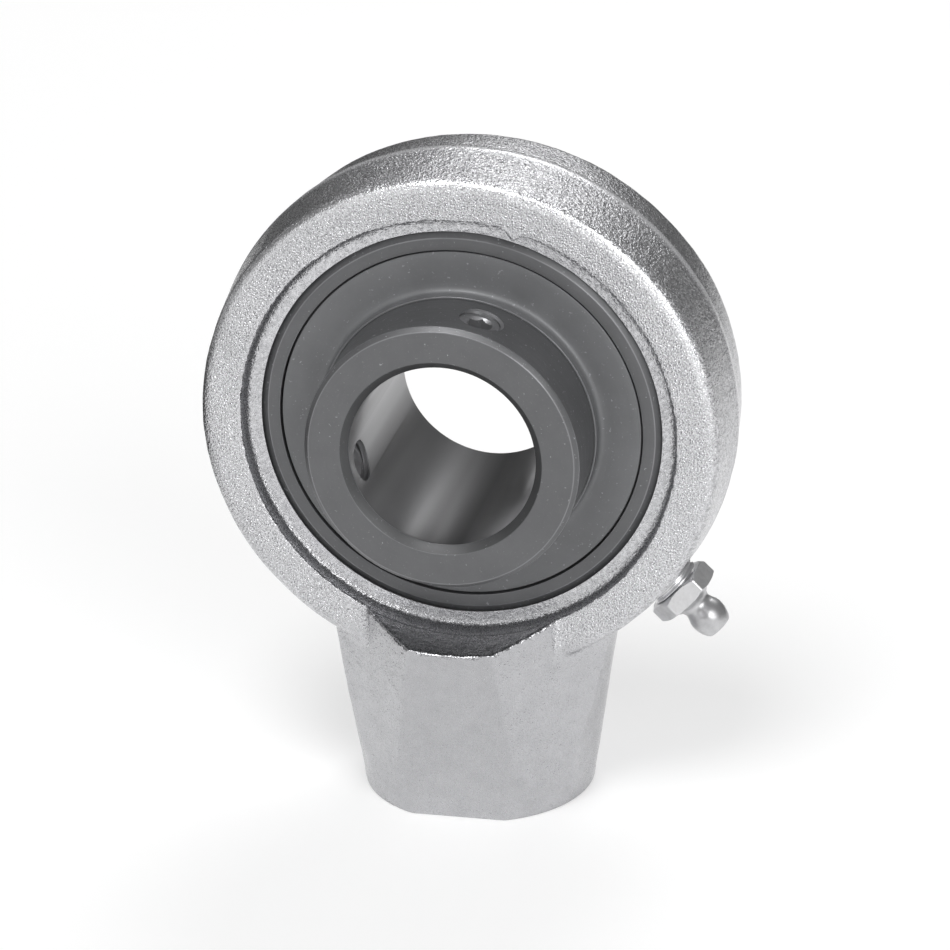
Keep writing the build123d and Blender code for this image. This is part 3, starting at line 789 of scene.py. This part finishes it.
# outlines of (radius, height, edge rounding) that fill the machined hollows
filling = {
    "seat": [(0, -9.9, 0), *arcPoints((0, 0), 36.3, -15.8, 15.8, 12), (0, 9.9, 0)],
    "slots": [(0, 5, 0), (36.2, 5, 0), (36.2, 9.9, 0), (0, 9.9, 0)],
    "mouth": [(0, -69.9, 0), (17.3, -69.9, 0), (15.4, -67.5, 0), (15.4, -49, 0), (0, -43, 0)],
    "tap": [(0, 35, 0), (5.0, 35, 0), (5.0, 45.2, 0), (0, 45.2, 0)],
}
pipeThread = {
    "pitch": 2.309, "root": 15.1455, "crest": 16.60, "threadFrom": -73, "threadEnd": -50.6, "steps": 120,
    "below": -71, "holeEnd": -49.0, "tip": -43.5, "flare": 17.80, "flareEnd": -68.35,
}
nippleTap = {"from": 33, "passage": 1.6, "tapFrom": 39.5, "tap": 4.83, "end": 50, "steps": 64}


def evenMouth(bm, size):
    # the skin is cut above its uneven rim, and the cut edge drawn down to the mouth with a small rounding
    cutOff(bm, (0, 0, (size["mouth"] + size["rimCut"]) * mm), (0, 0, -1), size["rimPlane"])
    rim = openEdges(bm)
    for above, share in size["rimSteps"]:
        drawn = bmesh.ops.extrude_edge_only(bm, edges=rim)["geom"]
        rim = [g for g in drawn if isinstance(g, bmesh.types.BMEdge) and g.is_boundary]
        for v in {v for e in rim for v in e.verts}:
            v.co = Vector((share * v.co.x, share * v.co.y, (size["mouth"] + above) * mm))
    bmesh.ops.edgeloop_fill(bm, edges=rim)
    bmesh.ops.recalc_face_normals(bm, faces=bm.faces[:])


def skinDepth(spot, size):
    # slow waves and ripples of the mould, and its parting ridge round the ring
    seed = Vector(size["seed"])
    wave = noise.noise(spot / size["waveLength"] + seed) - 1
    ripple = noise.noise(spot / size["rippleLength"] + seed) - 1
    depth = size["waveDepth"] * wave + size["rippleDepth"] * ripple
    if spot.xz.length > size["ridgeFrom"] and spot.z > size["ridgeEnd"]:
        off = spot.y - size["ridgeAt"]
        beyond = abs(off) - size["ridgeHalf"]
        step = size["stepFront"] if off < 0 else size["stepBack"]
        fade = min(1, (spot.z - size["ridgeEnd"]) / size["ridgeFade"])
        depth += fade * (size["ridgeHeight"] if beyond < 0 else -step * math.exp(-beyond / size["stepRun"]))
    return depth * min(1, max(0, (spot.z - size["mouth"] - size["calmHeight"]) / size["calmRun"]))


def castSurface(obj, size):
    bm = bmesh.new()
    bm.from_mesh(obj.data)
    for i in range(size["smoothing"]):
        bmesh.ops.smooth_vert(bm, verts=bm.verts[:], factor=size["smoothShare"], use_axis_x=True,
                              use_axis_y=True, use_axis_z=True)
    bm.normal_update()
    lump = Vector(size["lump"])
    for v in bm.verts:
        spot = v.co / mm
        v.co += v.normal * skinDepth(spot, size) * mm
        near = (spot - lump).length / size["lumpReach"]
        if near < 1:
            # a lump hangs from the recess edge towards the shaft
            inwards = -Vector((spot.x, 0, spot.z)).normalized()
            v.co += inwards * size["lumpHeight"] * (1 - near ** 2) ** 2 * mm
    evenMouth(bm, size)
    bm.to_mesh(obj.data)
    bm.free()


def fillHollows(casting, nippleAxis):
    # the machined hollows are filled for the cast skin, and cut again once it is on
    fillers = (
        (turned(filling["seat"]), alongShaft), (turned(filling["slots"]), alongShaft),
        (turned(filling["mouth"]), toMetres), (turned(filling["tap"], nippleTap["steps"]), nippleAxis),
    )
    for filler, place in fillers:
        combine(casting, objectFrom(filler, "filler", place, castingZinc), "UNION")


def machine(casting, size, nippleAxis):
    # the seat, the loading slots at the back, the threaded mouth and the way in from the nipple
    seat, swing, slotEnd = size["seat"], size["seatSwing"], size["slotEnd"]
    ball = turned([(0, -seat, 0), *arcPoints((0, 0), seat, -swing, swing, size["seatSteps"]), (0, seat, 0)])
    slot = turned([(0, 0, 0), (seat, 0, 0), (seat, slotEnd, 0), (0, slotEnd, 0)])
    for outwards in (1, -1):
        cutOff(slot, (0, outwards * size["slotHalf"], 0), (0, outwards, 0))
        bmesh.ops.edgeloop_fill(slot, edges=openEdges(slot))
    below, root = pipeThread["below"], pipeThread["root"]
    drill = turned([(0, below, 0), (root, below, 0), (root, pipeThread["holeEnd"], 0),
                    (0, pipeThread["tip"], 0)])
    thread = threadedRod(pipeThread, pipeThread["threadFrom"], pipeThread["threadEnd"], pipeThread["steps"])
    flare = turned([(0, below, 0), (pipeThread["flare"], below, 0), (root, pipeThread["flareEnd"], 0),
                    (0, pipeThread["flareEnd"], 0)])
    passage = turned([
        (0, nippleTap["from"], 0), (nippleTap["passage"], nippleTap["from"], 0),
        (nippleTap["passage"], nippleTap["tapFrom"], 0), (nippleTap["tap"], nippleTap["tapFrom"], 0),
        (nippleTap["tap"], nippleTap["end"], 0), (0, nippleTap["end"], 0),
    ], nippleTap["steps"])
    for cutter, place in ((ball, alongShaft), (slot, alongShaft), (drill, toMetres), (thread, toMetres),
                          (flare, toMetres), (passage, nippleAxis)):
        combine(casting, objectFrom(cutter, "cutter", place, cut["machinedZinc"]), "DIFFERENCE")


def shadeCasting(casting):
    # the cast skin is smooth all over, the machined edges are sharp
    bm = bmesh.new()
    bm.from_mesh(casting.data)
    for face in bm.faces:
        face.smooth = True
    for edge in bm.edges:
        cast = all(face.material_index == 0 for face in edge.link_faces)
        edge.smooth = cast or edge.calc_face_angle(0) < math.radians(sharpAngle)
    bm.to_mesh(casting.data)
    bm.free()


def buildHousing(size):
    bm = bmesh.new()
    bm.from_mesh(frame["nodes"]["housing"].data)
    bmesh.ops.remove_doubles(bm, verts=bm.verts[:], dist=size["weld"])
    casting = objectFrom(bm, "housingCasting", Matrix.Identity(4), castingZinc)
    nippleAxis = outFromShaft(nipple["angle"], nipple["height"])
    fillHollows(casting, nippleAxis)
    skin = casting.modifiers.new("skin", "REMESH")
    skin.mode = "VOXEL"
    skin.voxel_size = size["voxel"] * mm
    applyModifiers(casting)
    castSurface(casting, size)
    print("cast skin has", len(casting.data.polygons), "faces")
    machine(casting, size, nippleAxis)
    shadeCasting(casting)
    settle(casting, "housing", "zinc_casting", "housing")


buildHousing(housing)
print("housing made")


def dress(node, material):
    # a piece that keeps its CAD shape
    obj = frame["nodes"][node]
    obj.data.materials.clear()
    obj.data.materials.append(material)


ballCount = 9
for i in range(ballCount):
    dress(f"ball_{i + 1}", cut["ballSteel"])
for node in ("cage_front", "cage_back", "cage_rivets"):
    dress(node, cut["cageSteel"])
for node in ("seal_front", "seal_back"):
    dress(node, sealRubber)
dress("nipple_ball", cut["ballSteel"])
dress("nipple_spring", cut["springSteel"])
print("inner pieces dressed")


studio = {
    # the floor's height in millimetres, all other sizes in metres
    "floorHeight": -70.0, "floorHalf": 4.0, "floorColour": 0.62, "floorGlow": 0.40, "roughness": 0.9,
    "world": 0.25,
    # place, size and power in watts
    "lamps": {
        "topLamp": ((0.12, 1.2, 1.28), 1.0, 10.5),
        "overLamp": ((-0.2, -0.75, 1.6), 0.8, 14),
        "rightLamp": ((1.1, -1.4, 0.8), 1.2, 16),
        "leftLamp": ((-0.9, -1.5, 0.8), 1.2, 4.5),
    },
    "cards": {
        "darkCard": {"colour": 0.055, "direction": (-0.375, 0.927), "away": 0.42, "half": 0.33, "top": 0.13},
        "sideCard": {"colour": 0.05, "direction": (-0.989, 0.148), "away": 0.13, "half": 0.10, "top": 0.0},
        "greyCard": {"colour": 0.06, "direction": (0.62, 0.785), "away": 0.45, "half": 0.18, "top": 0.05},
    },
    "cardRise": 0.001,
}


def plainMaterial(name, grey):
    material = bpy.data.materials.new(name)
    material.use_nodes = True
    shader = material.node_tree.nodes["Principled BSDF"]
    shader.inputs["Base Color"].default_value = (grey, grey, grey, 1)
    shader.inputs["Roughness"].default_value = studio["roughness"]
    return material


def buildFloor(size):
    bm = bmesh.new()
    bmesh.ops.create_grid(bm, x_segments=1, y_segments=1, size=size["floorHalf"],
                          matrix=Matrix.Translation((0, 0, size["floorHeight"] * mm)))
    material = plainMaterial("paleFloor", size["floorColour"])
    tree = material.node_tree
    shader = tree.nodes["Principled BSDF"]
    shader.inputs["Specular IOR Level"].default_value = 0.0
    shader.inputs["Emission Color"].default_value = (1, 1, 1, 1)
    tree.links.new(seenDirectly(tree, 0, size["floorGlow"]), shader.inputs["Emission Strength"])
    floor = objectFrom(bm, "floor", Matrix.Identity(4), material)


def buildCard(name, size):
    # a dark card beside or behind the part, which only reflections show
    along = Vector((*size["direction"], 0))
    across = Vector((-along.y, along.x, 0))
    bottom = Vector((0, 0, studio["floorHeight"] * mm + studio["cardRise"]))
    top = Vector((0, 0, size["top"]))
    corners = [along * size["away"] + side * size["half"] * across + height
               for side, height in ((-1, bottom), (1, bottom), (1, top), (-1, top))]
    bm = bmesh.new()
    bm.faces.new([bm.verts.new(corner) for corner in corners])
    card = objectFrom(bm, name, Matrix.Identity(4), plainMaterial(name, size["colour"]))
    card.visible_camera = False
    card.visible_diffuse = False
    card.visible_shadow = False


def seenDirectly(tree, hidden, seen):
    # one strength for light and another for what camera, gloss and glass see
    path = tree.nodes.new("ShaderNodeLightPath")
    direct = highest(tree, path.outputs["Is Camera Ray"], path.outputs["Is Glossy Ray"],
                     path.outputs["Is Transmission Ray"])
    return ranged(tree, direct, 0, 1, hidden, seen)


def addLamp(name, place, size, power):
    lamp = bpy.data.lights.new(name, "AREA")
    lamp.shape = "DISK"
    lamp.size = size
    lamp.energy = power
    obj = bpy.data.objects.new(name, lamp)
    bpy.context.scene.collection.objects.link(obj)
    obj.location = place
    obj.rotation_euler = (-Vector(place)).to_track_quat("-Z", "Y").to_euler()


def lightStudio(size):
    world = bpy.data.worlds.new("studio")
    bpy.context.scene.world = world
    world.use_nodes = True
    background = world.node_tree.nodes["Background"]
    background.inputs["Color"].default_value = (1, 1, 1, 1)
    background.inputs["Strength"].default_value = size["world"]
    for name, (place, width, power) in size["lamps"].items():
        addLamp(name, place, width, power)


view = {
    "azimuth": 12.822, "elevation": 22.989, "roll": -1.247, "right": -0.383, "up": 12.293,
    "distance": 800.0, "lens": 177.5, "sensor": 36, "clip": (0.05, 50),
}


def placeCamera(size):
    azimuth, elevation, roll = (math.radians(size[k]) for k in ("azimuth", "elevation", "roll"))
    back = Vector((math.sin(azimuth) * math.cos(elevation), -math.cos(azimuth) * math.cos(elevation),
                   math.sin(elevation)))
    level = Vector((math.cos(azimuth), math.sin(azimuth), 0))
    upright = back.cross(level)
    right = math.cos(roll) * level + math.sin(roll) * upright
    up = back.cross(right)
    place = Matrix((right, up, back)).transposed().to_4x4()
    place.translation = (size["distance"] * back - size["right"] * right - size["up"] * up) * mm
    camera = bpy.data.cameras.new("camera")
    camera.lens = size["lens"]
    camera.sensor_width = size["sensor"]
    camera.clip_start, camera.clip_end = size["clip"]
    obj = bpy.data.objects.new("camera", camera)
    bpy.context.scene.collection.objects.link(obj)
    obj.matrix_world = place
    bpy.context.scene.camera = obj


buildFloor(studio)
for name, card in studio["cards"].items():
    buildCard(name, card)
lightStudio(studio)
placeCamera(view)
bpy.context.scene.view_settings.view_transform = "Standard"
print("studio ready")
